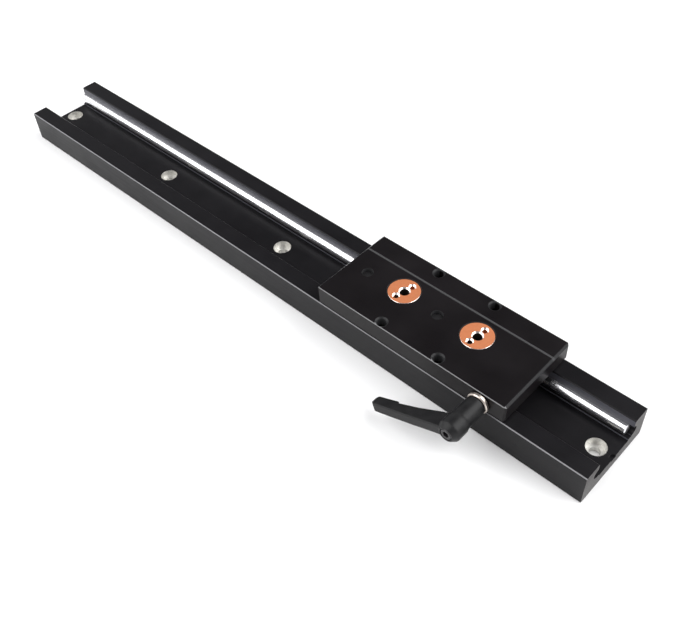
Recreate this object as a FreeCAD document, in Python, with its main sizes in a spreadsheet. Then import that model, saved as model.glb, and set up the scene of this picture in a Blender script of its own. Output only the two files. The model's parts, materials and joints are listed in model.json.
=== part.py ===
import FreeCAD, Part
import os
import re
import Sketcher

# Camera slider: an aluminium rail with two hardened shafts inside its channel, and a carriage plate
# that runs between the shafts on four grooved ball-bearing rollers. Two rollers sit on fixed studs
# and bear on the front shaft; two sit on eccentric studs and bear on the back shaft. A clamping
# lever on the front of the carriage drives a cone-ended spindle that presses a brake pin on the rail.
#
# Frame: origin on the axis of the rail's middle mounting hole, at the rail's underside, +X along the
# rail, +Z up, lever towards -Y.
# All lengths are in millimetres and all angles in degrees.

DIMENSIONS = [
    ("overrun", 1.0),
    ("fit_gap", 0.02),
    ("rail_length", 415.2),
    ("rail_width", 48.7),
    ("rail_height", 18.6),
    ("rail_edge", 0.4),
    ("floor_height", 7.0),
    ("channel_half", 14.4),
    ("lip_bevel", 0.5),
    ("ledge_half", 11.95),
    ("ledge_height", 8.0),
    ("mount_pitch", 100.0),
    ("mount_count", 5),
    ("mount_shift", -1.1),
    ("mount_hole_radius", 2.75),
    ("mount_counterbore_radius", 4.9),
    ("mount_counterbore_depth", 4.0),
    ("end_notch_radius", 2.0),
    ("end_notch_depth", 1.4),
    ("shaft_radius", 3.0),
    ("shaft_length", 412.6),
    ("shaft_setback", 0.2),
    ("shaft_half_spacing", 14.1),
    ("shaft_axis_height", 11.5),
    ("shaft_seat_gap", 0.02),
    ("shaft_edge", 0.4),
    ("carriage_position", 110.0),
    ("carriage_length", 113.2),
    ("carriage_half_width", 24.55),
    ("carriage_base_height", 19.9),
    ("carriage_top_height", 30.1),
    ("carriage_long_bevel", 0.3),
    ("carriage_end_bevel", 1.0),
    ("line_groove_offset", 12.2),
    ("line_groove_half_width", 0.55),
    ("line_groove_depth", 0.45),
    ("thread_half_spacing_along", 17.0),
    ("thread_half_spacing_across", 21.4),
    ("thread_radius", 2.5),
    ("thread_countersink_radius", 3.3),
    ("thread_countersink_depth", 0.7),
    ("roller_pitch", 22.1),
    ("roller_offset", 1.0),
    ("roller_width", 6.0),
    ("roller_flange_radius", 10.7),
    ("roller_running_gap", 0.04),
    ("roller_edge", 0.3),
    ("roller_bore_radius", 8.1),
    ("ball_radius", 1.5),
    ("ball_circle_radius", 7.2),
    ("ball_count", 9),
    ("ball_gap", 0.03),
    ("race_outer_radius", 6.3),
    ("cage_thickness", 4.0),
    ("cage_half_wall", 0.35),
    ("shield_thickness", 0.3),
    ("shield_inner_radius", 6.5),
    ("shield_inset", 0.2),
    ("axle_radius", 4.0),
    ("axle_head_radius", 5.5),
    ("axle_head_thickness", 1.0),
    ("axle_thread_radius", 3.0),
    ("axle_thread_height", 28.0),
    ("thread_edge", 0.6),
    ("axle_socket_flats", 4.0),
    ("axle_socket_depth", 3.0),
    ("spacer_radius", 6.0),
    ("eccentric_shift", 0.4),
    ("eccentric_radius", 8.6),
    ("eccentric_flange_radius", 9.75),
    ("eccentric_flange_thickness", 1.5),
    ("eccentric_flange_gap", 0.05),
    ("eccentric_top_height", 29.9),
    ("eccentric_edge", 0.5),
    ("eccentric_bore_gap", 0.05),
    ("eccentric_thread_radius", 2.3),
    ("eccentric_mouth_radius", 2.95),
    ("eccentric_mouth_depth", 0.65),
    ("spanner_hole_radius", 1.2),
    ("spanner_hole_offset", 4.9),
    ("spanner_hole_depth", 3.0),
    ("spanner_mouth_radius", 1.9),
    ("spanner_mouth_depth", 0.7),
    ("spanner_turn_second", 14.0),
    ("spanner_turn_fourth", 8.0),
    ("eccentric_screw_radius", 2.2),
    ("eccentric_screw_length", 16.0),
    ("eccentric_screw_flats", 2.5),
    ("lock_screw_radius", 2.0),
    ("lock_screw_length", 9.0),
    ("lock_screw_shift", 2.6),
    ("lock_screw_gap", 0.6),
    ("lock_screw_flats", 2.0),
    ("lock_screw_height", 25.1),
    ("clamp_height", 24.0),
    ("clamp_thread_radius", 3.0),
    ("clamp_bore_gap", 0.05),
    ("clamp_cone_tip", 1.0),
    ("collar_radius", 5.5),
    ("collar_start", 0.15),
    ("collar_end", 2.3),
    ("collar_edge", 0.5),
    ("spline_radius", 3.4),
    ("spline_end", 5.5),
    ("spline_count", 12),
    ("spline_flute_radius", 0.6),
    ("spline_flute_offset", 0.1),
    ("spline_rib_radius", 0.4),
    ("spline_rib_offset", 0.25),
    ("hub_start", 2.5),
    ("hub_end", 24.0),
    ("hub_boss_start", 15.5),
    ("hub_neck_radius", 5.0),
    ("hub_neck_taper", 0.1),
    ("hub_foot_edge", 0.3),
    ("hub_shoulder", 2.0),
    ("hub_radius", 5.7),
    ("hub_bevel_length", 2.6),
    ("hub_bevel_depth", 2.0),
    ("hub_bore_radius", 3.8),
    ("hub_bore_end", 11.0),
    ("hub_web_end", 12.2),
    ("hub_web_hole_radius", 2.15),
    ("hub_chamber_radius", 3.15),
    ("hub_rib_end", 5.6),
    ("lever_screw_radius", 1.95),
    ("lever_screw_start", -6.0),
    ("lever_screw_head_start", 20.8),
    ("lever_screw_head_end", 23.8),
    ("lever_screw_head_radius", 3.0),
    ("lever_screw_head_edge", 0.4),
    ("lever_screw_flats", 3.0),
    ("lever_screw_socket_depth", 1.8),
    ("spring_coil_radius", 2.5),
    ("spring_wire_radius", 0.3),
    ("spring_turns", 4),
    ("arm_low", 5.1),
    ("arm_high", 0.9),
    ("arm_edge", 0.8),
    ("clamp_station", 43.2),
    ("brake_head_radius", 4.0),
    ("brake_stem_radius", 3.0),
    ("brake_shoulder_height", 19.4),
    ("brake_top_height", 26.4),
    ("brake_gap", 0.07),
    ("brake_bore_gap", 0.05),
    ("brake_bore_top", 27.2),
    ("brake_boss_radius", 7.5),
    ("brake_boss_base", 14.6),
    ("brake_ring_radius", 4.6),
    ("brake_ring_inner_radius", 3.3),
    ("brake_ring_base", 15.2),
    ("brake_ring_thickness", 0.8),
    ("brake_ring_half_opening", 1.2),
    ("brake_spring_radius", 3.5),
    ("brake_spring_wire", 0.25),
    ("brake_spring_turns", 2),
    ("brake_pad_radius", 5.0),
    ("brake_pad_thickness", 2.0),
    ("brake_pad_edge", 0.4),
    ("brake_pad_clearance", 0.3),
]

# Roller stations along the carriage, counted in roller pitches from its middle.
ROLLER_STATIONS = (-2, -1, 0, 1)
# The lever's arm points towards the far end of the rail and hangs this many degrees below the level.
LEVER_DROOP = 18.0

doc = FreeCAD.newDocument("camera_slider")
sheet = doc.addObject("Spreadsheet::Sheet", "Dimensions")
ALIASES = {name for name, value in DIMENSIONS}
sub_parts = []


def fill_sheet():
    """Write every driving dimension as a plain number with a word as its alias."""
    for row, (name, value) in enumerate(DIMENSIONS, start=1):
        sheet.set("A%d" % row, name)
        sheet.set("B%d" % row, str(value))
        sheet.setAlias("B%d" % row, name)
    doc.recompute()


def cell(expression):
    """Turn alias names in an expression into references to the sheet."""
    def reference(match):
        word = match.group(0)
        return "Dimensions." + word if word in ALIASES else word
    return re.sub(r"[a-z][a-z_]+", reference, str(expression))


def bind(target, **properties):
    """Bind properties of an object to expressions over the sheet."""
    for name, expression in properties.items():
        target.setExpression(name.replace("__", "."), cell(expression))


def new_body(label):
    """Start a sub-part: its label is also the name of its file."""
    body = doc.addObject("PartDesign::Body", label)
    body.Label = label
    sub_parts.append(body)
    return body


def origin_feature(body, role):
    """Find one of the body's own origin planes or axes by its role."""
    return next(item for item in body.Origin.OriginFeatures if item.Role == role)


def place(body, x=0, y=0, z=0, axis=None, angle=0):
    """Put a sub-part in the common frame: turn it about its own origin, then move it."""
    if axis is not None:
        turn = FreeCAD.Rotation(FreeCAD.Vector(*axis), angle)
        body.Placement = FreeCAD.Placement(FreeCAD.Vector(), turn)
    bind(body, Placement__Base__x=x, Placement__Base__y=y, Placement__Base__z=z)


def new_sketch(body, plane, shift=0):
    """Attach a sketch to one of the body's origin planes, moved along the plane's normal."""
    sketch = body.newObject("Sketcher::SketchObject", body.Name + "_sketch")
    sketch.AttachmentSupport = (origin_feature(body, plane), "")
    sketch.MapMode = "FlatFace"
    if shift:
        bind(sketch, AttachmentOffset__Base__z=shift)
    return sketch


def hold_point(sketch, geometry, vertex, x, y):
    """Fix one sketch point at bound coordinates; a plain 0 puts it on that axis."""
    for kind, value, axis in (("DistanceX", x, -2), ("DistanceY", y, -1)):
        if value == 0:
            sketch.addConstraint(Sketcher.Constraint("PointOnObject", geometry, vertex, axis))
        else:
            index = sketch.addConstraint(Sketcher.Constraint(kind, -1, 1, geometry, vertex, 1.0))
            sketch.setExpression("Constraints[%d]" % index, cell(value))


def outline(sketch, points):
    """Draw a closed outline of straight lines through points with bound coordinates."""
    count = len(points)
    start = [FreeCAD.Vector(1 + index, 1 + (index * index) % 7, 0) for index in range(count)]
    for index in range(count):
        sketch.addGeometry(Part.LineSegment(start[index], start[(index + 1) % count]))
    for index in range(count):
        after = (index + 1) % count
        sketch.addConstraint(Sketcher.Constraint("Coincident", index, 2, after, 1))
    for index, (x, y) in enumerate(points):
        hold_point(sketch, index, 1, x, y)


def circle(sketch, x, y, radius):
    """Draw a circle with a bound centre and radius."""
    geometry = sketch.addGeometry(Part.Circle(FreeCAD.Vector(1, 1, 0), FreeCAD.Vector(0, 0, 1), 1.0))
    hold_point(sketch, geometry, 3, x, y)
    index = sketch.addConstraint(Sketcher.Constraint("Radius", geometry, 1.0))
    sketch.setExpression("Constraints[%d]" % index, cell(radius))


def pad(body, sketch, length, symmetric=False):
    """Pad a sketch along its normal."""
    feature = body.newObject("PartDesign::Pad", body.Name + "_pad")
    feature.Profile = sketch
    feature.SideType = "Symmetric" if symmetric else "One side"
    bind(feature, Length=length)
    body.Tip = feature
    return feature


def pocket(body, sketch, length, symmetric=False, reverse=False):
    """Cut a sketch into the body, against its normal unless reversed."""
    feature = body.newObject("PartDesign::Pocket", body.Name + "_pocket")
    feature.Profile = sketch
    feature.SideType = "Symmetric" if symmetric else "One side"
    feature.Reversed = reverse
    bind(feature, Length=length)
    body.Tip = feature
    return feature


def round_feature(body, kind, radius, height, x=0, y=0, z=0, turn=None):
    """Add or cut a cylinder whose base centre sits at x, y, z in the body."""
    feature = body.newObject("PartDesign::%sCylinder" % kind, body.Name + "_cylinder")
    feature.AttachmentSupport = (origin_feature(body, "XY_Plane"), "")
    feature.MapMode = "FlatFace"
    if turn is not None:
        feature.AttachmentOffset = FreeCAD.Placement(FreeCAD.Vector(), turn)
    bind(feature, Radius=radius, Height=height)
    for name, value in (("x", x), ("y", y), ("z", z)):
        if value != 0:
            bind(feature, **{"AttachmentOffset__Base__" + name: value})
    body.Tip = feature
    return feature


def countersink(body, radius, mouth, depth, x, y, top):
    """Widen a hole's mouth into a cone that ends at the height top."""
    cone = body.newObject("PartDesign::SubtractiveCone", body.Name + "_countersink")
    cone.AttachmentSupport = (origin_feature(body, "XY_Plane"), "")
    cone.MapMode = "FlatFace"
    bind(cone, Radius1=radius, Radius2=mouth, Height=depth, AttachmentOffset__Base__x=x,
         AttachmentOffset__Base__y=y, AttachmentOffset__Base__z="%s - (%s)" % (top, depth))
    body.Tip = cone


def ring_groove(body, ring_radius, groove_radius):
    """Cut a round groove whose centre circle lies in the body's XY plane."""
    feature = body.newObject("PartDesign::SubtractiveTorus", body.Name + "_torus")
    feature.AttachmentSupport = (origin_feature(body, "XY_Plane"), "")
    feature.MapMode = "FlatFace"
    bind(feature, Radius1=ring_radius, Radius2=groove_radius)
    body.Tip = feature
    return feature


def around(body, features, count):
    """Repeat features evenly around the body's Z axis."""
    pattern = body.newObject("PartDesign::PolarPattern", body.Name + "_pattern")
    pattern.Originals = features
    pattern.Axis = (origin_feature(body, "Z_Axis"), [""])
    pattern.Angle = 360
    bind(pattern, Occurrences=count)
    body.Tip = pattern
    return pattern


def turned(body, points):
    """Turn a half outline, given as (radius, height) points, about the body's Z axis."""
    sketch = new_sketch(body, "XZ_Plane")
    outline(sketch, points)
    feature = body.newObject("PartDesign::Revolution", body.Name + "_revolution")
    feature.Profile = sketch
    feature.ReferenceAxis = (sketch, ["V_Axis"])
    feature.Angle = 360
    body.Tip = feature
    return feature


def hexagon(sketch, flats, x="0"):
    """Draw a hexagon across the given flats, with its centre and two corners on the sketch's X axis."""
    corner = "(%s) / 2 / cos(30)" % flats
    side = "(%s) / 2" % flats
    half = "(%s) / 4 / cos(30)" % flats
    outline(sketch, [("%s + %s" % (x, corner), 0), ("%s + %s" % (x, half), side),
                     ("%s - %s" % (x, half), side), ("%s - %s" % (x, corner), 0),
                     ("%s - %s" % (x, half), "-" + side), ("%s + %s" % (x, half), "-" + side)])


def socket(body, flats, mouth, depth, upward):
    """Cut a hexagon socket from its mouth into the head of a screw."""
    sketch = new_sketch(body, "XY_Plane", mouth)
    hexagon(sketch, flats)
    return pocket(body, sketch, depth, reverse=upward)


def rail_extrusion():
    """Channel with a lip over each side, a ledge along each shaft and a row of counterbored holes."""
    body = new_body("rail_extrusion")
    profile = new_sketch(body, "YZ_Plane")
    right = [("rail_width / 2 - rail_edge", 0),
             ("rail_width / 2", "rail_edge"),
             ("rail_width / 2", "rail_height - rail_edge"),
             ("rail_width / 2 - rail_edge", "rail_height"),
             ("channel_half + lip_bevel", "rail_height"),
             ("channel_half", "rail_height - lip_bevel"),
             ("channel_half", "ledge_height"),
             ("ledge_half", "ledge_height"),
             ("ledge_half", "floor_height")]
    left = [("-(%s)" % across, up) for across, up in reversed(right)]
    outline(profile, right + left)
    pad(body, profile, "rail_length", symmetric=True)
    grooves = new_sketch(body, "YZ_Plane")
    for side in ("", "-"):
        circle(grooves, side + "shaft_half_spacing", "shaft_axis_height", "shaft_radius + shaft_seat_gap")
    pocket(body, grooves, "rail_length", symmetric=True)
    first = "mount_shift - mount_pitch * (mount_count - 1) / 2"
    hole = round_feature(body, "Subtractive", "mount_hole_radius", "rail_height", x=first)
    counterbore = round_feature(body, "Subtractive", "mount_counterbore_radius", "rail_height",
                                x=first, z="floor_height - mount_counterbore_depth")
    pattern = body.newObject("PartDesign::LinearPattern", "mount_hole_pattern")
    pattern.Originals = [hole, counterbore]
    pattern.Direction = (origin_feature(body, "X_Axis"), [""])
    bind(pattern, Length="mount_pitch * (mount_count - 1)", Occurrences="mount_count")
    body.Tip = pattern
    round_feature(body, "Subtractive", "end_notch_radius", "rail_height",
                  x="rail_length / 2", z="floor_height - end_notch_depth")
    place(body, "-mount_shift")


def shaft(label, side):
    """A hardened shaft lying in one groove of the rail, chamfered at both ends."""
    body = new_body(label)
    turned(body, [(0, 0),
                  ("shaft_radius - shaft_edge", 0),
                  ("shaft_radius", "shaft_edge"),
                  ("shaft_radius", "shaft_length - shaft_edge"),
                  ("shaft_radius - shaft_edge", "shaft_length"),
                  (0, "shaft_length")])
    place(body, "-rail_length / 2 + shaft_setback - mount_shift", side + "shaft_half_spacing",
          "shaft_axis_height", axis=(0, 1, 0), angle=90)


def station(index):
    """Distance along the carriage of a roller station, counted from -2 to 1, from its middle."""
    return "%d * roller_pitch" % index


def roller_is_eccentric(number):
    """Every second roller has an eccentric stud and bears on the back shaft."""
    return number % 2 == 0


def roller_centre(number):
    """Centre of a roller in the common frame."""
    along = "carriage_position + " + station(ROLLER_STATIONS[number - 1])
    if roller_is_eccentric(number):
        return along + " + eccentric_shift", "roller_offset", "shaft_axis_height"
    return along, "-roller_offset", "shaft_axis_height"


def carriage_block():
    """Carriage plate: bevelled round both ends, with a line along the top."""
    body = new_body("carriage_block")
    thickness = "(carriage_top_height - carriage_base_height)"
    profile = new_sketch(body, "YZ_Plane")
    outline(profile, [("-carriage_half_width", 0), ("carriage_half_width", 0),
                      ("carriage_half_width", thickness), ("-carriage_half_width", thickness)])
    block = pad(body, profile, "carriage_length", symmetric=True)
    doc.recompute()
    ends = ["Face%d" % (index + 1) for index, face in enumerate(block.Shape.Faces)
            if abs(face.normalAt(0, 0).x) > 0.99]
    end_bevel = bevel(body, block, ends, "carriage_end_bevel")
    doc.recompute()
    long_edges = ["Edge%d" % (index + 1) for index, edge in enumerate(end_bevel.Shape.Edges)
                  if edge.BoundBox.XLength > value_of("carriage_length") / 2]
    bevel(body, end_bevel, long_edges, "carriage_long_bevel")
    line = new_sketch(body, "YZ_Plane")
    outline(line, [
        ("line_groove_offset", thickness + " - line_groove_depth"),
        ("line_groove_offset + line_groove_half_width", thickness),
        ("line_groove_offset + line_groove_half_width", thickness + " + overrun"),
        ("line_groove_offset - line_groove_half_width", thickness + " + overrun"),
        ("line_groove_offset - line_groove_half_width", thickness)])
    pocket(body, line, "carriage_length + 2 * overrun", symmetric=True)
    round_feature(body, "Additive", "brake_boss_radius",
                  "carriage_base_height - brake_boss_base + overrun",
                  x="clamp_station", z="brake_boss_base - carriage_base_height")
    cut_camera_threads(body, thickness)
    cut_roller_bores(body, thickness)
    cut_brake_bores(body)
    place(body, "carriage_position", 0, "carriage_base_height")


def bevel(body, base, elements, size):
    """Chamfer edges, or all the edges of faces, of the feature below."""
    feature = body.newObject("PartDesign::Chamfer", body.Name + "_chamfer")
    feature.Base = (base, elements)
    bind(feature, Size=size)
    body.Tip = feature
    return feature


def value_of(name):
    """Read one driving dimension back from the sheet."""
    return float(sheet.get(name))


def cut_camera_threads(body, thickness):
    """Four tapped holes for the camera plate, each with a countersunk mouth."""
    for along in ("", "-"):
        for across in ("", "-"):
            x = along + "thread_half_spacing_along"
            y = across + "thread_half_spacing_across"
            round_feature(body, "Subtractive", "thread_radius", thickness + " + overrun",
                          x=x, y=y, z="-overrun / 2")
            countersink(body, "thread_radius", "thread_countersink_radius", "thread_countersink_depth",
                        x, y, thickness)


def cut_roller_bores(body, thickness):
    """Tapped holes for the fixed studs, bores for the eccentric studs and holes for their lock screws."""
    towards_back = FreeCAD.Rotation(FreeCAD.Vector(1, 0, 0), -90)
    for number, index in enumerate(ROLLER_STATIONS, start=1):
        x = station(index)
        if roller_is_eccentric(number):
            radius = "eccentric_radius + eccentric_bore_gap"
            round_feature(body, "Subtractive", radius, thickness + " + overrun",
                          x=x, y="roller_offset", z="-overrun / 2")
            round_feature(body, "Subtractive", "lock_screw_radius", "carriage_half_width",
                          x=lock_screw_along(number), y="roller_offset + eccentric_radius / 2",
                          z="lock_screw_height - carriage_base_height", turn=towards_back)
        else:
            round_feature(body, "Subtractive", "axle_thread_radius", thickness + " + overrun",
                          x=x, y="-roller_offset", z="-overrun / 2")


def lock_screw_along(number):
    """Lock screws stand a little outside the studs' centres, clear of the camera threads."""
    side = "-" if ROLLER_STATIONS[number - 1] < 0 else "+"
    return "%s %s lock_screw_shift" % (station(ROLLER_STATIONS[number - 1]), side)


def cut_brake_bores(body):
    """The upright bore of the brake pin, its ring groove, and the spindle's hole from the front."""
    x = "clamp_station"
    round_feature(body, "Subtractive", "brake_head_radius + brake_bore_gap",
                  "brake_bore_top - brake_boss_base + overrun", x=x,
                  z="brake_boss_base - carriage_base_height - overrun")
    round_feature(body, "Subtractive", "brake_ring_radius", "brake_ring_thickness",
                  x=x, z="brake_ring_base - carriage_base_height")
    round_feature(body, "Subtractive", "clamp_thread_radius + clamp_bore_gap",
                  "carriage_half_width + overrun",
                  x=x, z="clamp_height - carriage_base_height",
                  turn=FreeCAD.Rotation(FreeCAD.Vector(1, 0, 0), 90))


def roller(number):
    """Outer ring of a grooved roller, with a race for the balls inside."""
    body = new_body("roller_%d" % number)
    half = "roller_width / 2"
    turned(body, [("roller_bore_radius", "-" + half),
                  ("roller_flange_radius - roller_edge", "-" + half),
                  ("roller_flange_radius", "-%s + roller_edge" % half),
                  ("roller_flange_radius", "%s - roller_edge" % half),
                  ("roller_flange_radius - roller_edge", half),
                  ("roller_bore_radius", half)])
    ring_groove(body, "shaft_half_spacing - roller_offset", "shaft_radius + roller_running_gap")
    ring_groove(body, "ball_circle_radius", "ball_radius + ball_gap")
    place(body, *roller_centre(number))


def inner_race(number):
    """Ring that the balls of one roller run around."""
    body = new_body("inner_race_%d" % number)
    half = "roller_width / 2"
    bore = "axle_radius + fit_gap"
    turned(body, [(bore, "-" + half), ("race_outer_radius", "-" + half),
                  ("race_outer_radius", half), (bore, half)])
    ring_groove(body, "ball_circle_radius", "ball_radius + ball_gap")
    place(body, *roller_centre(number))


def bearing_balls(number):
    """The balls of one roller, evenly round its race, as separate solids."""
    body = new_body("bearing_balls_%d" % number)
    ball = body.newObject("PartDesign::AdditiveSphere", body.Name + "_ball")
    ball.AttachmentSupport = (origin_feature(body, "XY_Plane"), "")
    ball.MapMode = "FlatFace"
    bind(ball, Radius="ball_radius", AttachmentOffset__Base__x="ball_circle_radius")
    body.Tip = ball
    around(body, [ball], "ball_count")
    place(body, *roller_centre(number))


def ball_cage(number):
    """A thin ring with a round window for each ball, which keeps the balls apart."""
    body = new_body("ball_cage_%d" % number)
    inner = "ball_circle_radius - cage_half_wall"
    outer = "ball_circle_radius + cage_half_wall"
    half = "cage_thickness / 2"
    turned(body, [(inner, "-" + half), (outer, "-" + half), (outer, half), (inner, half)])
    hole = round_feature(body, "Subtractive", "ball_radius + ball_gap", "ball_circle_radius + ball_radius",
                         turn=FreeCAD.Rotation(FreeCAD.Vector(0, 1, 0), 90))
    around(body, [hole], "ball_count")
    place(body, *roller_centre(number))


def shields(number):
    """The two thin steel shields pressed into a roller's faces."""
    body = new_body("roller_shields_%d" % number)
    outer_face = "roller_width / 2 - shield_inset"
    for start in (outer_face + " - shield_thickness", "-(%s)" % outer_face):
        sketch = new_sketch(body, "XY_Plane", start)
        circle(sketch, 0, 0, "roller_bore_radius")
        circle(sketch, 0, 0, "shield_inner_radius")
        pad(body, sketch, "shield_thickness")
    place(body, *roller_centre(number))


def fixed_stud(number):
    """Shoulder screw of a fixed roller: low head under the roller, thread up into the carriage."""
    body = new_body("fixed_stud_%d" % number)
    base = "-roller_width / 2"
    shoulder_top = "carriage_base_height - shaft_axis_height"
    thread_top = "axle_thread_height - shaft_axis_height"
    turned(body, [(0, base + " - axle_head_thickness"),
                  ("axle_head_radius", base + " - axle_head_thickness"),
                  ("axle_head_radius", base),
                  ("axle_radius", base),
                  ("axle_radius", shoulder_top),
                  ("axle_thread_radius - fit_gap", shoulder_top),
                  ("axle_thread_radius - fit_gap", thread_top + " - thread_edge"),
                  ("axle_thread_radius - thread_edge", thread_top),
                  (0, thread_top)])
    socket(body, "axle_socket_flats", base + " - axle_head_thickness", "axle_socket_depth", upward=True)
    place(body, *roller_centre(number))


def fixed_spacer(number):
    """Bush that holds a fixed roller's inner race at its distance below the carriage."""
    body = new_body("fixed_spacer_%d" % number)
    bore = "axle_radius + fit_gap"
    top = "carriage_base_height - shaft_axis_height"
    turned(body, [(bore, "roller_width / 2"), ("spacer_radius", "roller_width / 2"),
                  ("spacer_radius", top), (bore, top)])
    place(body, *roller_centre(number))


def eccentric_stud(number):
    """Copper-coloured stud: a round head that turns in the carriage, with an off-centre axle below."""
    body = new_body("eccentric_stud_%d" % number)
    flange_top = "carriage_base_height - shaft_axis_height"
    head_top = "eccentric_top_height - shaft_axis_height"
    turned(body, [(0, flange_top + " - eccentric_flange_thickness"),
                  ("eccentric_flange_radius", flange_top + " - eccentric_flange_thickness"),
                  ("eccentric_flange_radius", flange_top + " - eccentric_flange_gap"),
                  ("eccentric_radius", flange_top + " - eccentric_flange_gap"),
                  ("eccentric_radius", head_top + " - eccentric_edge"),
                  ("eccentric_radius - eccentric_edge", head_top),
                  (0, head_top)])
    neck_height = flange_top + " - eccentric_flange_thickness - roller_width / 2"
    round_feature(body, "Additive", "spacer_radius", neck_height,
                  x="eccentric_shift", z="roller_width / 2")
    round_feature(body, "Additive", "axle_radius", "roller_width",
                  x="eccentric_shift", z="-roller_width / 2")
    round_feature(body, "Subtractive", "eccentric_thread_radius", "carriage_top_height",
                  x="eccentric_shift / 2", z="-roller_width / 2 - overrun")
    countersink(body, "eccentric_thread_radius", "eccentric_mouth_radius", "eccentric_mouth_depth",
                "eccentric_shift / 2", 0, head_top)
    turned_by = "spanner_turn_second" if number == 2 else "spanner_turn_fourth"
    for side in ("", "-"):
        x = side + "spanner_hole_offset * sin(%s)" % turned_by
        y = side + "spanner_hole_offset * cos(%s)" % turned_by
        round_feature(body, "Subtractive", "spanner_hole_radius", "spanner_hole_depth + overrun",
                      x=x, y=y, z=head_top + " - spanner_hole_depth")
        countersink(body, "spanner_hole_radius", "spanner_mouth_radius", "spanner_mouth_depth",
                    x, y, head_top)
    along = "carriage_position + " + station(ROLLER_STATIONS[number - 1])
    place(body, along, "roller_offset", "shaft_axis_height")


def eccentric_screw(number):
    """Low-head screw that holds a roller's inner race on its eccentric stud."""
    body = new_body("eccentric_screw_%d" % number)
    base = "-roller_width / 2"
    turned(body, [(0, base + " - axle_head_thickness"),
                  ("axle_head_radius", base + " - axle_head_thickness"),
                  ("axle_head_radius", base),
                  ("eccentric_screw_radius", base),
                  ("eccentric_screw_radius", base + " + eccentric_screw_length"),
                  (0, base + " + eccentric_screw_length")])
    socket(body, "eccentric_screw_flats", base + " - axle_head_thickness", "axle_socket_depth",
           upward=True)
    x, y, z = roller_centre(number)
    place(body, x + " - eccentric_shift / 2", y, z)


def eccentric_lock_screws():
    """Two headless screws from the back face, one against each eccentric stud."""
    body = new_body("eccentric_lock_screws")
    reach = "(sqrt(pow(eccentric_radius; 2) - pow(lock_screw_shift; 2)) + roller_offset + lock_screw_gap)"
    for number in (2, 4):
        x = lock_screw_along(number)
        turn = FreeCAD.Rotation(FreeCAD.Vector(1, 0, 0), -90)
        round_feature(body, "Additive", "lock_screw_radius - fit_gap", "lock_screw_length",
                      x=x, y=reach, turn=turn)
        sketch = new_sketch(body, "XZ_Plane")
        hexagon(sketch, "lock_screw_flats", x)
        bind(sketch, AttachmentOffset__Base__z="-(%s + lock_screw_length)" % reach)
        pocket(body, sketch, "lock_screw_length / 3", reverse=True)
    place(body, "carriage_position", 0, "lock_screw_height")


def place_on_clamp(body, turn=0):
    """Put a part of the clamp on the spindle's axis: its own Z runs out of the carriage's front face."""
    outward = FreeCAD.Rotation(FreeCAD.Vector(1, 0, 0), 90)
    about_axis = FreeCAD.Rotation(FreeCAD.Vector(0, 0, 1), turn)
    body.Placement = FreeCAD.Placement(FreeCAD.Vector(), outward.multiply(about_axis))
    place(body, "carriage_position + clamp_station", "-carriage_half_width", "clamp_height")


def clamp_stud():
    """Steel spindle: cone tip and thread inside the carriage, collar and splined head outside."""
    body = new_body("clamp_stud")
    tip = "-carriage_half_width + clamp_cone_tip"
    turned(body, [(0, tip),
                  ("clamp_thread_radius", tip + " + clamp_thread_radius"),
                  ("clamp_thread_radius", "collar_start"),
                  ("collar_radius - collar_edge", "collar_start"),
                  ("collar_radius", "collar_start + collar_edge"),
                  ("collar_radius", "collar_end - collar_edge"),
                  ("collar_radius - collar_edge", "collar_end"),
                  ("spline_radius", "collar_end"),
                  ("spline_radius", "spline_end"),
                  (0, "spline_end")])
    flute = round_feature(body, "Subtractive", "spline_flute_radius", "spline_end - collar_end + overrun",
                          x="spline_radius + spline_flute_offset", z="collar_end")
    around(body, [flute], "spline_count")
    round_feature(body, "Subtractive", "lever_screw_radius + fit_gap",
                  "spline_end - lever_screw_start + overrun",
                  z="lever_screw_start - overrun / 2")
    place_on_clamp(body, turn=LEVER_DROOP)


def lever_screw():
    """Socket screw that keeps the lever and its spring on the spindle."""
    body = new_body("lever_screw")
    turned(body, [(0, "lever_screw_start"),
                  ("lever_screw_radius", "lever_screw_start"),
                  ("lever_screw_radius", "lever_screw_head_start"),
                  ("lever_screw_head_radius", "lever_screw_head_start"),
                  ("lever_screw_head_radius", "lever_screw_head_end - lever_screw_head_edge"),
                  ("lever_screw_head_radius - lever_screw_head_edge", "lever_screw_head_end"),
                  (0, "lever_screw_head_end")])
    socket(body, "lever_screw_flats", "lever_screw_head_end", "lever_screw_socket_depth", upward=False)
    place_on_clamp(body)


def coil(label, radius, wire, base, height, turns):
    """A round-wire compression spring along the body's Z axis."""
    body = new_body(label)
    sketch = new_sketch(body, "XZ_Plane")
    circle(sketch, radius, "%s + %s" % (base, wire), wire)
    feature = body.newObject("PartDesign::AdditiveHelix", label + "_helix")
    feature.Profile = sketch
    feature.ReferenceAxis = (sketch, ["V_Axis"])
    feature.Mode = "height-turns-angle"
    bind(feature, Height="%s - 2 * %s" % (height, wire), Turns=turns)
    body.Tip = feature
    return body


def lever_spring():
    """Spring that pushes the lever home on its splines after it has been pulled out."""
    body = coil("lever_spring", "spring_coil_radius", "spring_wire_radius", "hub_web_end + fit_gap",
                "(lever_screw_head_start - hub_web_end - 2 * fit_gap)", "spring_turns")
    place_on_clamp(body)


# Sections of the lever's arm: distance from the hub's axis, then the heights of its inner and
# outer faces above the carriage's front face, then how far the section is drawn in all round.
ARM_SECTIONS = [(2.0, 11.4, 21.6, 0), (10.0, 13.0, 22.2, 0), (22.0, 16.4, 23.4, 0), (33.4, 18.7, 24.3, 0)]
GRIP_SECTIONS = [(33.0, 17.7, 24.3, 0), (43.4, 19.3, 25.0, 0), (44.6, 19.6, 25.1, 0.9)]


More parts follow.
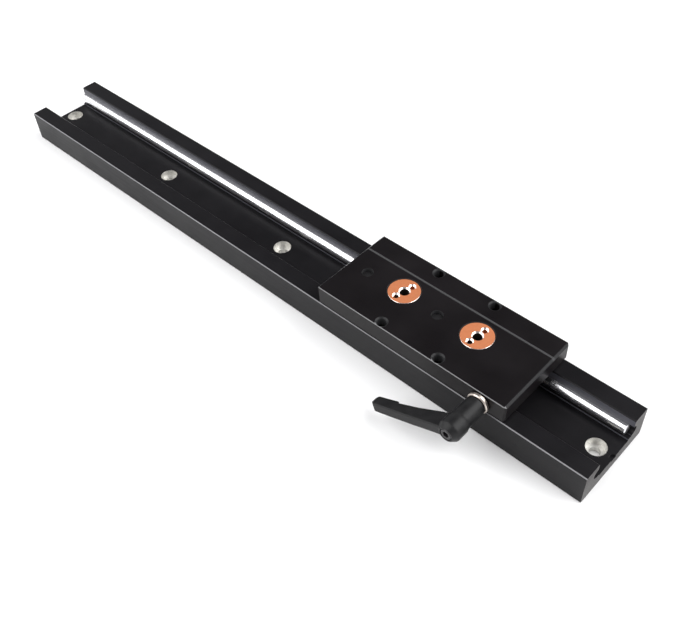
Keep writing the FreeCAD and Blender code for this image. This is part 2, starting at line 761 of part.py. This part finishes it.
def arm_outline(sketch, inner, outer, drawn_in):
    """Section of the lever's arm: a flat bar with a sharp outer ridge and bevelled back edges."""
    low = "-(arm_low - %s)" % drawn_in
    high = "(arm_high - %s / 2)" % drawn_in
    inner = "(%s + %s)" % (inner, drawn_in)
    outer = "(%s - %s)" % (outer, drawn_in)
    outline(sketch, [(low, inner + " + arm_edge"), (low + " + arm_edge", inner),
                     (high + " - arm_edge", inner), (high, inner + " + arm_edge"),
                     (high, outer + " - arm_edge / 4"), (high + " - arm_edge / 4", outer),
                     (low + " + arm_edge", outer), (low, outer + " - arm_edge")])


def lever_handle():
    """Clamping lever: a hub over the spindle's splines and a tapered, faceted arm."""
    body = new_body("lever_handle")
    turned(body, [(0, "hub_start"),
                  ("hub_neck_radius - hub_foot_edge", "hub_start"),
                  ("hub_neck_radius", "hub_start + hub_foot_edge"),
                  ("hub_neck_radius + hub_neck_taper", "hub_boss_start - hub_shoulder"),
                  ("hub_radius", "hub_boss_start"),
                  ("hub_radius", "hub_end - hub_bevel_length"),
                  ("hub_radius - hub_bevel_depth", "hub_end"),
                  (0, "hub_end")])
    for name, sections in (("lever_arm", ARM_SECTIONS), ("lever_grip", GRIP_SECTIONS)):
        loft(body, name, sections)
    cut_lever_bores(body)
    place_on_clamp(body, turn=LEVER_DROOP)


def loft(body, name, sections):
    """Join sections of the arm with straight facets."""
    profiles = []
    for distance, inner, outer, drawn_in in sections:
        sketch = new_sketch(body, "YZ_Plane", "-%s" % distance)
        arm_outline(sketch, inner, outer, drawn_in)
        profiles.append(sketch)
    feature = body.newObject("PartDesign::AdditiveLoft", name)
    feature.Profile = profiles[0]
    feature.Sections = profiles[1:]
    feature.Ruled = True
    body.Tip = feature


def cut_lever_bores(body):
    """Splined bore at the foot, a web for the screw, and the spring's chamber at the end."""
    round_feature(body, "Subtractive", "hub_bore_radius", "hub_bore_end - hub_start + overrun",
                  z="hub_start - overrun")
    round_feature(body, "Subtractive", "hub_web_hole_radius", "hub_end", z="hub_start")
    round_feature(body, "Subtractive", "hub_chamber_radius", "hub_end", z="hub_web_end")
    rib = round_feature(body, "Additive", "spline_rib_radius", "hub_rib_end - hub_start",
                        x="spline_radius + spline_rib_offset", z="hub_start")
    around(body, [rib], "spline_count")


def brake_pin():
    """Pin that the cone tip drives down: its top is a 45 degree slope that faces the spindle."""
    body = new_body("brake_pin")
    top = "brake_top_height - brake_shoulder_height"
    foot = "floor_height + brake_pad_clearance + brake_pad_thickness - brake_shoulder_height"
    turned(body, [(0, foot), ("brake_stem_radius", foot), ("brake_stem_radius", 0),
                  ("brake_head_radius", 0), ("brake_head_radius", top), (0, top)])
    slope_height = "(clamp_height + clamp_cone_tip - brake_gap - brake_shoulder_height)"
    sketch = new_sketch(body, "YZ_Plane")
    outline(sketch, [("-brake_head_radius - overrun", slope_height + " - brake_head_radius - overrun"),
                     ("brake_head_radius + overrun", slope_height + " + brake_head_radius + overrun"),
                     ("-brake_head_radius - overrun", slope_height + " + brake_head_radius + overrun")])
    pocket(body, sketch, "4 * brake_head_radius", symmetric=True)
    place(body, "carriage_position + clamp_station", 0, "brake_shoulder_height")


def brake_pad():
    """Plastic pad under the brake pin, just clear of the channel's floor."""
    body = new_body("brake_pad")
    turned(body, [(0, 0), ("brake_pad_radius - brake_pad_edge", 0), ("brake_pad_radius", "brake_pad_edge"),
                  ("brake_pad_radius", "brake_pad_thickness"), (0, "brake_pad_thickness")])
    place(body, "carriage_position + clamp_station", 0, "floor_height + brake_pad_clearance")


def brake_spring():
    """Return spring of the brake pin, between the retaining ring and the pin's shoulder."""
    base = "brake_ring_base + brake_ring_thickness + fit_gap"
    body = coil("brake_spring", "brake_spring_radius", "brake_spring_wire", "0",
                "(brake_shoulder_height - (%s) - fit_gap)" % base, "brake_spring_turns")
    place(body, "carriage_position + clamp_station", 0, base)


def brake_retaining_ring():
    """Open spring ring in the boss that carries the brake's return spring."""
    body = new_body("brake_retaining_ring")
    sketch = new_sketch(body, "XY_Plane")
    circle(sketch, 0, 0, "brake_ring_radius - fit_gap")
    circle(sketch, 0, 0, "brake_ring_inner_radius")
    pad(body, sketch, "brake_ring_thickness - 2 * fit_gap")
    gap = new_sketch(body, "XY_Plane")
    outline(gap, [("-brake_ring_half_opening", 0),
                  ("-brake_ring_half_opening", "brake_ring_radius + overrun"),
                  ("brake_ring_half_opening", "brake_ring_radius + overrun"),
                  ("brake_ring_half_opening", 0)])
    pocket(body, gap, "brake_ring_thickness", reverse=True)
    place(body, "carriage_position + clamp_station", 0, "brake_ring_base + fit_gap")


def build():
    """Make every sub-part."""
    fill_sheet()
    rail_extrusion()
    shaft("front_shaft", "-")
    shaft("back_shaft", "")
    carriage_block()
    for number in range(1, len(ROLLER_STATIONS) + 1):
        roller(number)
        inner_race(number)
        bearing_balls(number)
        ball_cage(number)
        shields(number)
        if roller_is_eccentric(number):
            eccentric_stud(number)
            eccentric_screw(number)
        else:
            fixed_stud(number)
            fixed_spacer(number)
    eccentric_lock_screws()
    clamp_stud()
    lever_screw()
    lever_spring()
    lever_handle()
    brake_pin()
    brake_pad()
    brake_spring()
    brake_retaining_ring()
    doc.recompute()


def check():
    """Stop if any object failed or any sub-part has no valid solid."""
    for item in doc.Objects:
        if "Invalid" in item.State or "Error" in item.State:
            raise RuntimeError("%s failed: %s" % (item.Label, item.State))
    for body in sub_parts:
        if body.Shape.isNull() or not body.Shape.isValid() or not body.Shape.Solids:
            raise RuntimeError("%s has no valid solid" % body.Label)


def export():
    """Write each sub-part to a file and print its size."""
    os.makedirs("parts", exist_ok=True)
    for body in sub_parts:
        body.Shape.exportStep("parts/%s.step" % body.Label)
        box = body.Shape.BoundBox
        print("%-24s solids %2d volume %9.1f  x %.2f..%.2f y %.2f..%.2f z %.2f..%.2f" % (
            body.Label, len(body.Shape.Solids), body.Shape.Volume,
            box.XMin, box.XMax, box.YMin, box.YMax, box.ZMin, box.ZMax))


build()
check()
export()
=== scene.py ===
import json
import math

import bpy
from mathutils import Matrix, Vector


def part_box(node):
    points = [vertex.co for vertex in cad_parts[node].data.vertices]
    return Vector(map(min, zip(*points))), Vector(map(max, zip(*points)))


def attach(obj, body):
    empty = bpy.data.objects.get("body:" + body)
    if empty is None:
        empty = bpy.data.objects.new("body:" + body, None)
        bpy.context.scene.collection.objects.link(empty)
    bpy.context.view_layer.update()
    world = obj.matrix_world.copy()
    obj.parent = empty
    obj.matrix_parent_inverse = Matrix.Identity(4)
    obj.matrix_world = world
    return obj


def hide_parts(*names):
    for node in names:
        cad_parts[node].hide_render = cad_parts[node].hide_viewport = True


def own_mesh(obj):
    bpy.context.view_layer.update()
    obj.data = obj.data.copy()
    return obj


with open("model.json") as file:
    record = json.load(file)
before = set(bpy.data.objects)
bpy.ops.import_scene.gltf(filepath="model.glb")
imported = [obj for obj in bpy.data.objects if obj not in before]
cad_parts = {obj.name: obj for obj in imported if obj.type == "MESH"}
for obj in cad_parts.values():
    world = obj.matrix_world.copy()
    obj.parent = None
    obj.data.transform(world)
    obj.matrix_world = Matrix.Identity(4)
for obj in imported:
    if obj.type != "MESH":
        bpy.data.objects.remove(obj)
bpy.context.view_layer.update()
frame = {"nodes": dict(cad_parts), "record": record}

MM = 0.001

RAIL_HIGH = Vector(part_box("rail_extrusion")[1])
BLOCK_LOW, BLOCK_HIGH = (Vector(corner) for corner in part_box("carriage_block"))

# Places on the CAD nodes that the finishes pick out.
HOLE_PITCH = 100 * MM
COUNTERBORE_RADIUS = 4.9 * MM
CHANNEL_FLOOR = 7.0 * MM
LIP_HALF = 14.4 * MM
GROOVE_OFFSET = 12.2 * MM
GROOVE_BAND = 0.7 * MM
STUD_HOLES_REACH = 5.0 * MM
COUNTERSINK_DEPTH = 0.72 * MM
HOLE_WALL_DEPTH = 5 * MM

# How fine the lever's remesh is and how many smoothing passes it gets.
LEVER_VOXEL = 0.3 * MM
LEVER_SMOOTHING = 6

FLOOR_REACH = 3.0
FLOOR_HEIGHT = -0.0003

CAMERA_PLACE = Vector((0.2771, -0.2222, 0.3302))
CAMERA_AZIMUTH = math.radians(46.04)
CAMERA_ELEVATION = math.radians(46.99)
CAMERA_ROLL = math.radians(-3.94)
CAMERA_LENS = 44.8
CAMERA_SHIFT = (0.0004, -0.0026)


# ---------------------------------------------------------------- node helpers


class Finish:
    """A material with its principled shader and short calls for the nodes that feed it."""

    def __init__(self, name, color, roughness, metallic=0.0, specular=0.5):
        self.material = bpy.data.materials.new(name)
        self.material.use_nodes = True
        self.tree = self.material.node_tree
        self.shader = self.tree.nodes["Principled BSDF"]
        self.shader.inputs["Base Color"].default_value = (*color, 1.0)
        self.shader.inputs["Roughness"].default_value = roughness
        self.shader.inputs["Metallic"].default_value = metallic
        self.shader.inputs["Specular IOR Level"].default_value = specular
        where = self.add("ShaderNodeTexCoord")
        self.place = where.outputs["Object"]
        self.normal = where.outputs["Normal"]

    def add(self, kind, **settings):
        """A new node in the material's tree."""
        node = self.tree.nodes.new(kind)
        for name, value in settings.items():
            setattr(node, name, value)
        return node

    def feed(self, socket, value):
        """Link a socket to another, or set it to a constant."""
        if isinstance(value, bpy.types.NodeSocket):
            self.tree.links.new(value, socket)
        else:
            socket.default_value = value

    def stretched(self, x=1.0, y=1.0, z=1.0):
        """The object's coordinates, scaled along each axis."""
        node = self.add("ShaderNodeVectorMath", operation="MULTIPLY")
        self.feed(node.inputs[0], self.place)
        node.inputs[1].default_value = (x, y, z)
        return node.outputs[0]

    def noise(self, size, detail=3.0, place=None):
        """Noise between 0 and 1 whose grains are about size metres across."""
        node = self.add("ShaderNodeTexNoise")
        self.feed(node.inputs["Vector"], place or self.place)
        node.inputs["Scale"].default_value = 1.0 / size
        node.inputs["Detail"].default_value = detail
        return node.outputs["Fac"]

    def fit(self, value, low, high, to_low=0.0, to_high=1.0):
        """Map value from low..high to another range, clamped."""
        node = self.add("ShaderNodeMapRange")
        self.feed(node.inputs["Value"], value)
        limits = {"From Min": low, "From Max": high, "To Min": to_low, "To Max": to_high}
        for name, number in limits.items():
            node.inputs[name].default_value = number
        return node.outputs["Result"]

    def math(self, operation, first, second):
        """The result of a math node."""
        node = self.add("ShaderNodeMath", operation=operation)
        self.feed(node.inputs[0], first)
        self.feed(node.inputs[1], second)
        return node.outputs[0]

    def parts(self, vector):
        """The x, y and z parts of a vector."""
        node = self.add("ShaderNodeSeparateXYZ")
        self.feed(node.inputs[0], vector)
        return node.outputs

    def all_of(self, *masks):
        """1 where every mask is 1."""
        result = masks[0]
        for mask in masks[1:]:
            result = self.math("MULTIPLY", result, mask)
        return result

    def above(self, value, limit):
        """1 where value is over limit."""
        return self.math("GREATER_THAN", value, limit)

    def below(self, value, limit):
        """1 where value is under limit."""
        return self.math("LESS_THAN", value, limit)

    def size_of(self, value):
        """The value without its sign."""
        return self.math("ABSOLUTE", value, 0.0)

    def bevels(self):
        """1 on faces that lean about 45 degrees, such as chamfers and countersinks, else 0."""
        up = self.parts(self.normal)[2]
        square = self.math("MULTIPLY", up, up)
        lean = self.math("MULTIPLY", square, self.math("SUBTRACT", 1.0, square))
        return self.fit(lean, 0.14, 0.20)

    def blend(self, amount, first, second):
        """Mix two colours."""
        node = self.add("ShaderNodeMix", data_type="RGBA")
        self.feed(node.inputs["Factor"], amount)
        for socket, value in ((node.inputs[6], first), (node.inputs[7], second)):
            self.feed(socket, value if isinstance(value, bpy.types.NodeSocket) else (*value, 1.0))
        return node.outputs[2]

    def edges(self, radius):
        """About 1 on convex or concave edges and 0 on the flats between them."""
        rounded = self.add("ShaderNodeBevel", samples=6)
        rounded.inputs["Radius"].default_value = radius
        flat = self.add("ShaderNodeNewGeometry").outputs["Normal"]
        dot = self.add("ShaderNodeVectorMath", operation="DOT_PRODUCT")
        self.feed(dot.inputs[0], rounded.outputs["Normal"])
        self.feed(dot.inputs[1], flat)
        return self.fit(dot.outputs["Value"], 0.99, 0.80)

    def set_color(self, value):
        self.feed(self.shader.inputs["Base Color"], value)

    def set_roughness(self, value):
        self.feed(self.shader.inputs["Roughness"], value)

    def bump(self, height, distance, strength, edge_radius=None):
        """Raise the surface by height, and round its sharp edges if a radius is given."""
        node = self.add("ShaderNodeBump")
        node.inputs["Strength"].default_value = strength
        node.inputs["Distance"].default_value = distance
        self.feed(node.inputs["Height"], height)
        if edge_radius:
            rounded = self.add("ShaderNodeBevel", samples=4)
            rounded.inputs["Radius"].default_value = edge_radius
            self.feed(node.inputs["Normal"], rounded.outputs["Normal"])
        self.feed(self.shader.inputs["Normal"], node.outputs["Normal"])


# ------------------------------------------------------------------- materials


def anodised(name, tint, roughness, drawn, edge_wear_and_highlight):
    """Black anodised aluminium: fine blasted grain, faint drawn lines along X, edges lightened
    partly by rubbing, partly as a painted highlight.

    Returns the finish and its colour, so that the caller can mix other tones in."""
    finish = Finish(name, tint, roughness, specular=0.14)
    grain = finish.noise(0.25 * MM, 4.0)
    lines = finish.noise(0.5 * MM, 2.0, finish.stretched(x=0.01))
    cloud = finish.noise(22 * MM, 3.0)
    scuff = finish.fit(finish.noise(1.2 * MM, 5.0), 0.45, 0.75)
    # Edges lightened partly by rubbing, partly as a painted highlight along them.
    rubbed = finish.math("MULTIPLY", finish.edges(0.25 * MM), scuff)
    shade = finish.blend(finish.fit(cloud, 0.3, 0.7), [0.85 * part for part in tint],
                         [1.25 * part for part in tint])
    bare = tuple(min(1.0, edge_wear_and_highlight + part) for part in tint)
    spread = finish.math("ADD", finish.fit(cloud, 0.3, 0.7, roughness - 0.05, roughness + 0.05),
                         finish.fit(lines, 0.3, 0.7, -0.5 * drawn, 0.5 * drawn))
    finish.set_roughness(spread)
    height = finish.math("ADD", grain, finish.math("MULTIPLY", lines, 2.0 * drawn))
    finish.bump(height, 0.01 * MM, 0.5, edge_radius=0.12 * MM)
    return finish, finish.blend(rubbed, shade, bare)


def rail_anodising():
    """The rail's finish: bare metal in the screw holes; a painted highlight on the top chamfers and
    a painted reflection on the inner walls and the end faces.
    """
    finish, color = anodised("rail_anodising", (0.0062, 0.0058, 0.0068), 0.36, 0.10, 0.08)
    x, y, z = finish.parts(finish.place)
    across = finish.size_of(y)
    side_facing = finish.above(finish.size_of(finish.parts(finish.normal)[1]), 0.9)
    end_face_reflection = finish.above(finish.size_of(finish.parts(finish.normal)[0]), 0.9)

    rail_chamfer_highlight = finish.all_of(finish.bevels(), finish.above(z, RAIL_HIGH.z - 0.5 * MM),
                            finish.above(across, RAIL_HIGH.y - 0.6 * MM))
    inner_wall_reflection = finish.all_of(side_facing, finish.below(across, LIP_HALF + 0.3 * MM),
                               finish.above(z, CHANNEL_FLOOR + 0.05 * MM))
    wrap = finish.add("ShaderNodeMath", operation="WRAP")
    finish.feed(wrap.inputs[0], x)
    wrap.inputs[1].default_value = HOLE_PITCH / 2
    wrap.inputs[2].default_value = -HOLE_PITCH / 2
    x_squared = finish.math("MULTIPLY", wrap.outputs[0], wrap.outputs[0])
    y_squared = finish.math("MULTIPLY", y, y)
    reach = finish.math("SQRT", finish.math("ADD", x_squared, y_squared), 0.0)
    hole = finish.all_of(finish.below(reach, COUNTERBORE_RADIUS + 0.08 * MM),
                         finish.below(z, CHANNEL_FLOOR - 0.02 * MM), finish.above(z, 0.1 * MM))
    machined = finish.blend(finish.fit(finish.noise(1.5 * MM, 5.0), 0.3, 0.7), (0.80, 0.79, 0.76),
                            (0.55, 0.54, 0.51))

    # Painted reflection: the end faces tinted a lighter brown.
    color = finish.blend(end_face_reflection, color, (0.016, 0.013, 0.012))
    # Painted highlight: the top chamfers painted light grey.
    color = finish.blend(rail_chamfer_highlight, color, (0.22, 0.22, 0.23))
    # Painted reflection: the inner walls of the channel painted lighter, for the light the shaft
    # throws on them.
    color = finish.blend(inner_wall_reflection, color, (0.075, 0.075, 0.088))
    finish.set_color(finish.blend(hole, color, machined))
    finish.feed(finish.shader.inputs["Metallic"], finish.math("MULTIPLY", hole, 0.7))
    return finish.material


def carriage_anodising():
    """The carriage's finish: a painted highlight on the top chamfers, the groove and the front top
    edge; the walls of the tapped holes painted lighter.
    """
    finish, color = anodised("carriage_anodising", (0.0060, 0.0050, 0.0056), 0.34, 0.04, 0.08)
    x, y, z = finish.parts(finish.place)
    level = finish.below(finish.size_of(finish.parts(finish.normal)[2]), 0.3)
    middle = (BLOCK_LOW + BLOCK_HIGH) / 2
    along = finish.size_of(finish.math("SUBTRACT", x, middle.x))
    across = finish.size_of(finish.math("SUBTRACT", y, middle.y))
    inside = finish.all_of(finish.below(along, BLOCK_HIGH.x - middle.x - 2 * MM),
                           finish.below(across, BLOCK_HIGH.y - middle.y - 1.0 * MM))
    near_top = finish.above(z, BLOCK_HIGH.z - HOLE_WALL_DEPTH)
    leaning = finish.all_of(finish.bevels(), finish.above(z, BLOCK_HIGH.z - 1.2 * MM))
    front_edge_highlight = finish.all_of(leaning, finish.below(y, BLOCK_LOW.y + 1.0 * MM))
    groove = finish.all_of(leaning, finish.above(y, GROOVE_OFFSET - GROOVE_BAND),
                           finish.below(y, GROOVE_OFFSET + GROOVE_BAND))
    # Painted highlight: the top chamfers and countersinks a little lighter.
    color = finish.blend(leaning, color, (0.018, 0.018, 0.019))
    color = finish.blend(finish.all_of(level, inside, near_top), color, (0.035, 0.035, 0.037))
    # Painted highlight: the slopes of the groove lighter.
    color = finish.blend(groove, color, (0.050, 0.050, 0.052))
    # Painted highlight: the front top edge painted light grey.
    finish.set_color(finish.blend(front_edge_highlight, color, (0.20, 0.20, 0.205)))
    return finish.material


def ground_steel(name, tint, roughness, line_size, along):
    """Bright steel with fine grinding lines; along says how far each line is drawn out per axis."""
    finish = Finish(name, tint, roughness, metallic=1.0)
    lines = finish.noise(line_size, 3.0, finish.stretched(*along))
    cloud = finish.noise(9 * MM, 4.0)
    dull = [0.86 * part for part in tint]
    finish.set_color(finish.blend(finish.fit(cloud, 0.35, 0.7), tint, dull))
    patchy = finish.fit(cloud, 0.3, 0.7, 0.7 * roughness, 1.2 * roughness)
    finish.set_roughness(finish.math("ADD", patchy, finish.fit(lines, 0.3, 0.7, -0.03, 0.04)))
    return finish.material


def turned_copper(name, centres):
    """Copper-coloured face turned on a lathe: rings about the nearest stud's own axis."""
    finish = Finish(name, (0.80, 0.36, 0.18), 0.5, metallic=0.6)
    rings = None
    for centre in centres:
        offset = finish.add("ShaderNodeVectorMath", operation="SUBTRACT")
        finish.feed(offset.inputs[0], finish.place)
        offset.inputs[1].default_value = centre
        flat = finish.add("ShaderNodeVectorMath", operation="MULTIPLY")
        finish.feed(flat.inputs[0], offset.outputs[0])
        flat.inputs[1].default_value = (1.0, 1.0, 0.0)
        distance = finish.add("ShaderNodeVectorMath", operation="LENGTH")
        finish.feed(distance.inputs[0], flat.outputs[0])
        radius = distance.outputs["Value"]
        rings = radius if rings is None else finish.math("MINIMUM", rings, radius)
    wave = finish.math("SINE", finish.math("MULTIPLY", rings, 2 * math.pi / (0.22 * MM)), 0.0)
    cloud = finish.noise(3 * MM, 5.0)
    stain = finish.fit(finish.noise(1.1 * MM, 6.0), 0.5, 0.9, 0.0, 0.5)
    tone = finish.blend(finish.fit(cloud, 0.3, 0.7), (0.70, 0.25, 0.11), (0.62, 0.21, 0.09))
    color = finish.blend(stain, tone, (0.56, 0.20, 0.08))
    z = finish.parts(finish.place)[2]
    stud_hole_shade = finish.all_of(finish.below(z, BLOCK_HIGH.z - COUNTERSINK_DEPTH),
                            finish.below(rings, STUD_HOLES_REACH))
    copper_chamfer_highlight = finish.bevels()
    # Painted shade: inside the stud's holes, below the countersinks, darkened to near black.
    color = finish.blend(stud_hole_shade, color, (0.03, 0.022, 0.02))
    # Painted highlight: the chamfers painted pale silver.
    finish.set_color(finish.blend(copper_chamfer_highlight, color, (0.90, 0.82, 0.78)))
    finish.feed(finish.shader.inputs["Metallic"], finish.fit(copper_chamfer_highlight, 0.0, 1.0, 0.6, 1.0))
    finish.set_roughness(finish.math("SUBTRACT", finish.fit(cloud, 0.3, 0.7, 0.44, 0.56),
                                     finish.math("MULTIPLY", copper_chamfer_highlight, 0.26)))
    finish.bump(wave, 0.003 * MM, 0.2)
    return finish.material


def black_oxide(name):
    """Black-oxide steel screws: near black, a little oily, brighter where a key has rubbed."""
    finish = Finish(name, (0.035, 0.034, 0.036), 0.36, metallic=0.6)
    scuff = finish.fit(finish.noise(0.7 * MM, 4.0), 0.4, 0.7)
    rubbed = finish.math("MULTIPLY", finish.edges(0.2 * MM), scuff)
    finish.set_color(finish.blend(rubbed, (0.035, 0.034, 0.036), (0.30, 0.29, 0.29)))
    finish.set_roughness(finish.fit(finish.noise(0.9 * MM, 5.0), 0.3, 0.7, 0.28, 0.44))
    finish.bump(finish.noise(0.2 * MM, 4.0), 0.006 * MM, 0.5, edge_radius=0.1 * MM)
    return finish.material


def powder_coat(name):
    """The lever's satin black powder coat: small orange-peel dimples, lighter grey along its ridges,
    partly from rubbing, partly as a painted highlight.
    """
    finish = Finish(name, (0.012, 0.012, 0.013), 0.42, specular=0.22)
    peel = finish.add("ShaderNodeTexVoronoi")
    finish.feed(peel.inputs["Vector"], finish.place)
    peel.inputs["Scale"].default_value = 1.0 / (0.35 * MM)
    cloud = finish.noise(4 * MM, 4.0)
    skin = finish.blend(finish.fit(cloud, 0.3, 0.7), (0.0065, 0.0065, 0.0070),
                        (0.012, 0.012, 0.0125))
    scuff = finish.fit(finish.noise(2 * MM, 4.0), 0.3, 0.6)
    # Ridges lightened partly by rubbing, partly as a painted highlight.
    ridge_wear_and_highlight = finish.math("MULTIPLY", finish.edges(0.5 * MM), scuff)
    finish.set_color(finish.blend(ridge_wear_and_highlight, skin, (0.05, 0.05, 0.052)))
    finish.set_roughness(finish.fit(cloud, 0.3, 0.7, 0.36, 0.48))
    height = finish.math("ADD", peel.outputs["Distance"], finish.noise(0.15 * MM, 3.0))
    finish.bump(height, 0.012 * MM, 0.5)
    return finish.material


def moulded(name, light, dark, roughness):
    """Plain moulded plastic with a soft mottle."""
    finish = Finish(name, light, roughness)
    finish.set_color(finish.blend(finish.fit(finish.noise(1.5 * MM, 5.0), 0.3, 0.7), light, dark))
    patch = finish.noise(0.8 * MM, 4.0)
    finish.set_roughness(finish.fit(patch, 0.3, 0.7, roughness - 0.06, roughness + 0.08))
    finish.bump(finish.noise(0.12 * MM, 3.0), 0.008 * MM, 0.4)
    return finish.material


def stud_centre(number):
    """The middle of an eccentric stud."""
    low, high = (Vector(corner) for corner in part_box("eccentric_stud_%d" % number))
    return (low + high) / 2


def paint():
    """Give every carried-over node the finish of its material slot."""
    finishes = {
        "anodised_rail": rail_anodising(),
        "anodised_carriage": carriage_anodising(),
        "ground_shaft": ground_steel("ground_shaft", (0.88, 0.88, 0.90), 0.24, 0.5 * MM,
                                     (0.02, 1.0, 1.0)),
        "copper_stud": turned_copper("turned_copper", [stud_centre(2), stud_centre(4)]),
        "bearing_steel": ground_steel("bearing_steel", (0.66, 0.66, 0.67), 0.18, 0.3 * MM,
                                      (0.3, 0.3, 1.0)),
        "pressed_steel": ground_steel("pressed_steel", (0.55, 0.55, 0.56), 0.34, 0.6 * MM,
                                      (1.0, 1.0, 1.0)),
        "cage_nylon": moulded("cage_nylon", (0.72, 0.68, 0.55), (0.62, 0.58, 0.46), 0.5),
        "black_screw_steel": black_oxide("black_oxide_steel"),
        "turned_steel": ground_steel("turned_steel", (0.56, 0.50, 0.45), 0.34, 0.25 * MM,
                                     (0.2, 1.0, 0.2)),
        "lever_coating": powder_coat("lever_powder_coat"),
        "spring_steel": ground_steel("spring_steel", (0.50, 0.50, 0.51), 0.32, 0.2 * MM,
                                     (1.0, 0.4, 1.0)),
        "brass_pin": ground_steel("brass_pin", (0.78, 0.58, 0.27), 0.3, 0.3 * MM, (0.2, 0.2, 1.0)),
        "pad_plastic": moulded("pad_plastic", (0.80, 0.79, 0.74), (0.72, 0.71, 0.66), 0.42),
    }
    slot_of = {part["node"]: part["material_slot"] for part in frame["record"]["subparts"]}
    for node, thing in frame["nodes"].items():
        for spot in thing.material_slots:
            spot.material = finishes[slot_of[node]]
    return finishes


# ---------------------------------------------------------------- extra pieces


def stand_in(node, name, finish, body):
    """A copy of a node's mesh with its own finish, shown for the node and moving with a body."""
    piece = bpy.data.objects.new(name, frame["nodes"][node].data.copy())
    bpy.context.collection.objects.link(piece)
    piece.data.materials.clear()
    piece.data.materials.append(finish)
    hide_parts(node)
    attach(piece, body)
    return piece


def cast_lever(finish):
    """The lever, remeshed and smoothed so that its sharp edges are rounded like a casting's."""
    piece = stand_in("lever_handle", "cast_lever", finish, "lever")
    remesh = piece.modifiers.new("even_faces", "REMESH")
    remesh.mode = "VOXEL"
    remesh.voxel_size = LEVER_VOXEL
    remesh.use_smooth_shade = True
    soften = piece.modifiers.new("round_edges", "SMOOTH")
    soften.factor = 0.5
    soften.iterations = LEVER_SMOOTHING


def working_spring(node, name, finish, body):
    """A copy of a spring node with its own finish and its own mesh, moving with a body."""
    piece = stand_in(node, name, finish, body)
    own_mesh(piece)


# --------------------------------------------------------- floor, light, camera


def studio():
    """Pale floor, a sky that darkens upwards, and two large softboxes."""
    floor_mesh = bpy.data.meshes.new("floor")
    corners = ((-1, -1), (1, -1), (1, 1), (-1, 1))
    floor_mesh.from_pydata([(x * FLOOR_REACH, y * FLOOR_REACH, FLOOR_HEIGHT) for x, y in corners],
                           [], [(0, 1, 2, 3)])
    floor = bpy.data.objects.new("floor", floor_mesh)
    bpy.context.collection.objects.link(floor)
    paper = Finish("pale_paper", (0.93, 0.93, 0.93), 0.9, specular=0.1)
    paper.set_color(paper.blend(paper.noise(0.3, 3.0), (0.92, 0.92, 0.92), (0.94, 0.94, 0.94)))
    floor.data.materials.append(paper.material)

    world = bpy.data.worlds.new("studio")
    world.use_nodes = True
    nodes, links = world.node_tree.nodes, world.node_tree.links
    split = nodes.new("ShaderNodeSeparateXYZ")
    links.new(nodes.new("ShaderNodeTexCoord").outputs["Generated"], split.inputs[0])
    ramp = nodes.new("ShaderNodeValToRGB")
    ramp.color_ramp.elements[0].position = 0.0
    ramp.color_ramp.elements[0].color = (0.95, 0.95, 0.97, 1.0)
    ramp.color_ramp.elements[1].position = 0.85
    ramp.color_ramp.elements[1].color = (0.10, 0.10, 0.11, 1.0)
    links.new(split.outputs["Z"], ramp.inputs["Fac"])
    links.new(ramp.outputs["Color"], nodes["Background"].inputs["Color"])
    nodes["Background"].inputs["Strength"].default_value = 0.8
    bpy.context.scene.world = world

    softbox("key", (-0.75, -0.85, 1.1), 2.0, 1.7, 34.0)
    softbox("back", (0.9, 0.6, 1.0), 1.6, 1.4, 30.0)


def softbox(name, place, width, depth, power):
    """A rectangular light of that size in metres and power in watts, aimed at the origin."""
    light = bpy.data.lights.new(name, "AREA")
    light.shape = "RECTANGLE"
    light.size = width
    light.size_y = depth
    light.energy = power
    lamp = bpy.data.objects.new(name, light)
    lamp.location = place
    lamp.rotation_euler = (-Vector(place)).to_track_quat("-Z", "Y").to_euler()
    bpy.context.collection.objects.link(lamp)


def camera():
    """The camera that looks down on the slider from its near end."""
    data = bpy.data.cameras.new("camera")
    data.lens = CAMERA_LENS
    data.shift_x, data.shift_y = CAMERA_SHIFT
    view = bpy.data.objects.new("camera", data)
    forward = Vector((-math.cos(CAMERA_ELEVATION) * math.sin(CAMERA_AZIMUTH),
                      math.cos(CAMERA_ELEVATION) * math.cos(CAMERA_AZIMUTH),
                      -math.sin(CAMERA_ELEVATION)))
    level = forward.to_track_quat("-Z", "Y").to_matrix()
    turned = level @ Matrix.Rotation(CAMERA_ROLL, 3, "Z")
    view.matrix_world = Matrix.Translation(CAMERA_PLACE) @ turned.to_4x4()
    bpy.context.collection.objects.link(view)
    bpy.context.scene.camera = view


finishes = paint()
cast_lever(finishes["lever_coating"])
working_spring("lever_spring", "lever_return_spring", finishes["spring_steel"],
               "clamp_spindle")
working_spring("brake_spring", "brake_return_spring", finishes["spring_steel"],
               "carriage")
studio()
camera()
bpy.context.scene.view_settings.view_transform = "Standard"
